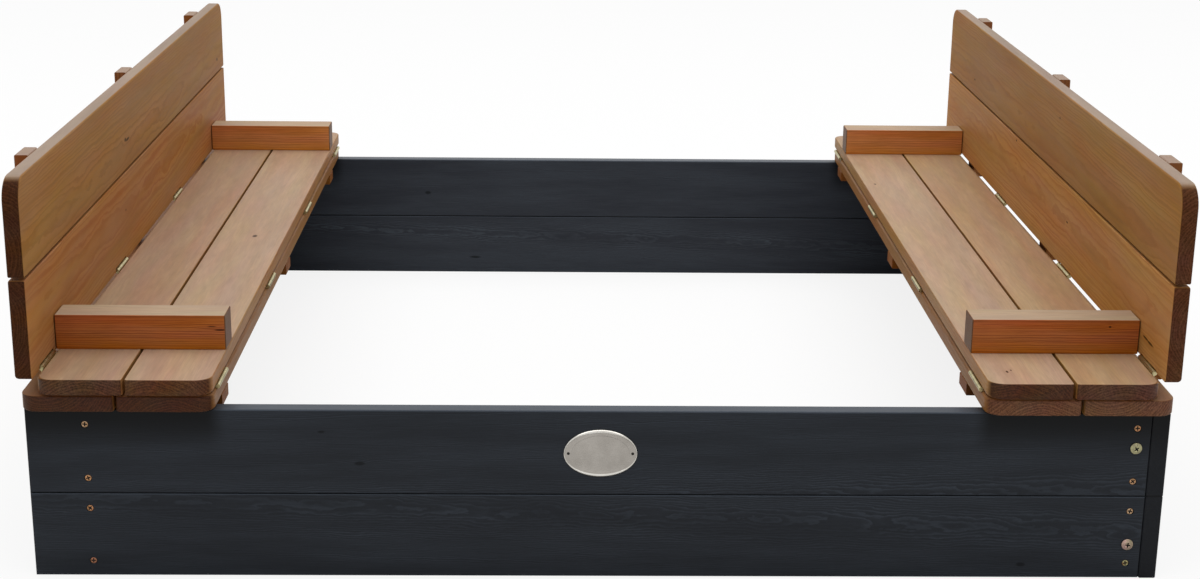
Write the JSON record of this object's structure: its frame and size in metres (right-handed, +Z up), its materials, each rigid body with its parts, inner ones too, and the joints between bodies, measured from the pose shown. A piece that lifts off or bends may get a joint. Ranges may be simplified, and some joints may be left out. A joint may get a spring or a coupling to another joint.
{
  "type": "sandbox with cover",
  "caption": "Square wooden sandbox with a two-part hinged cover that unfolds into facing benches with armrests and backrests.",
  "frame": {"origin": "on the ground plane, at the centre of the bounding box of the sandbox with its cover open as two benches", "axes": "+X across the box from the left bench to the right bench, +Y from the front wall with the nameplate to the rear wall, +Z up"},
  "size_m": [0.9782, 0.974, 0.3453],
  "materials": {
    "dark_stained_wood": "anthracite stain, open grain, matt",
    "seat_wood": "light brown stain, planed, satin",
    "back_wood": "light brown stain, planed, satin",
    "hinge_brass": "brass plated steel",
    "zinc_screw": "yellow passivated zinc",
    "nickel_plate": "satin nickel with a bright rim"
  },
  "bodies": {
    "box": {"front_lower_plank": "dark_stained_wood", "front_upper_plank": "dark_stained_wood", "right_lower_plank": "dark_stained_wood", "right_upper_plank": "dark_stained_wood", "rear_lower_plank": "dark_stained_wood", "rear_upper_plank": "dark_stained_wood", "left_lower_plank": "dark_stained_wood", "left_upper_plank": "dark_stained_wood", "front_end_post": "dark_stained_wood", "front_cover_post": "dark_stained_wood", "right_end_post": "dark_stained_wood", "right_cover_post": "dark_stained_wood", "rear_end_post": "dark_stained_wood", "rear_cover_post": "dark_stained_wood", "left_end_post": "dark_stained_wood", "left_cover_post": "dark_stained_wood", "wall_screws": "zinc_screw", "corner_screws": "zinc_screw", "nameplate": "nickel_plate", "nameplate_pins": "nickel_plate", "right_base_inner_plank": "seat_wood", "right_base_outer_plank": "seat_wood", "right_base_battens": "seat_wood", "left_base_inner_plank": "seat_wood", "left_base_outer_plank": "seat_wood", "left_base_battens": "seat_wood", "base_screws": "zinc_screw", "base_batten_screws": "zinc_screw", "right_fold_base_leaves": "hinge_brass", "left_fold_base_leaves": "hinge_brass"},
    "left_seat": {"left_seat_inner_plank": "seat_wood", "left_seat_outer_plank": "seat_wood", "left_front_armrest": "back_wood", "left_rear_armrest": "back_wood", "left_fold_seat_leaves": "hinge_brass", "left_fold_pins": "hinge_brass", "left_back_seat_leaves": "hinge_brass", "left_back_pins": "hinge_brass", "left_seat_screws": "zinc_screw"},
    "left_backrest": {"left_back_lower_plank": "back_wood", "left_back_upper_plank": "back_wood", "left_back_battens": "back_wood", "left_back_leaves": "hinge_brass", "left_back_screws": "zinc_screw"},
    "right_seat": {"right_seat_inner_plank": "seat_wood", "right_seat_outer_plank": "seat_wood", "right_front_armrest": "back_wood", "right_rear_armrest": "back_wood", "right_fold_seat_leaves": "hinge_brass", "right_fold_pins": "hinge_brass", "right_back_seat_leaves": "hinge_brass", "right_back_pins": "hinge_brass", "right_seat_screws": "zinc_screw"},
    "right_backrest": {"right_back_lower_plank": "back_wood", "right_back_upper_plank": "back_wood", "right_back_battens": "back_wood", "right_back_leaves": "hinge_brass", "right_back_screws": "zinc_screw"}
  },
  "joints": [
    {"name": "left_seat_fold", "type": "hinge", "parent": "box", "child": "left_seat", "pos_m": [-0.31805, 0, 0.1638], "axis": [0, 1, 0], "range_deg": [0, 180]},
    {"name": "left_backrest_fold", "type": "hinge", "parent": "left_seat", "child": "left_backrest", "pos_m": [-0.46284, 0, 0.17876], "axis": [0, 1, 0], "range_deg": [-90, 0]},
    {"name": "right_seat_fold", "type": "hinge", "parent": "box", "child": "right_seat", "pos_m": [0.31805, 0, 0.1638], "axis": [0, -1, 0], "range_deg": [0, 180]},
    {"name": "right_backrest_fold", "type": "hinge", "parent": "right_seat", "child": "right_backrest", "pos_m": [0.46284, 0, 0.17876], "axis": [0, -1, 0], "range_deg": [-90, 0]}
  ],
  "couplings": [
    {"joint": "left_backrest_fold", "follows": "left_seat_fold", "ratio": -0.5},
    {"joint": "right_backrest_fold", "follows": "right_seat_fold", "ratio": -0.5}
  ]
}
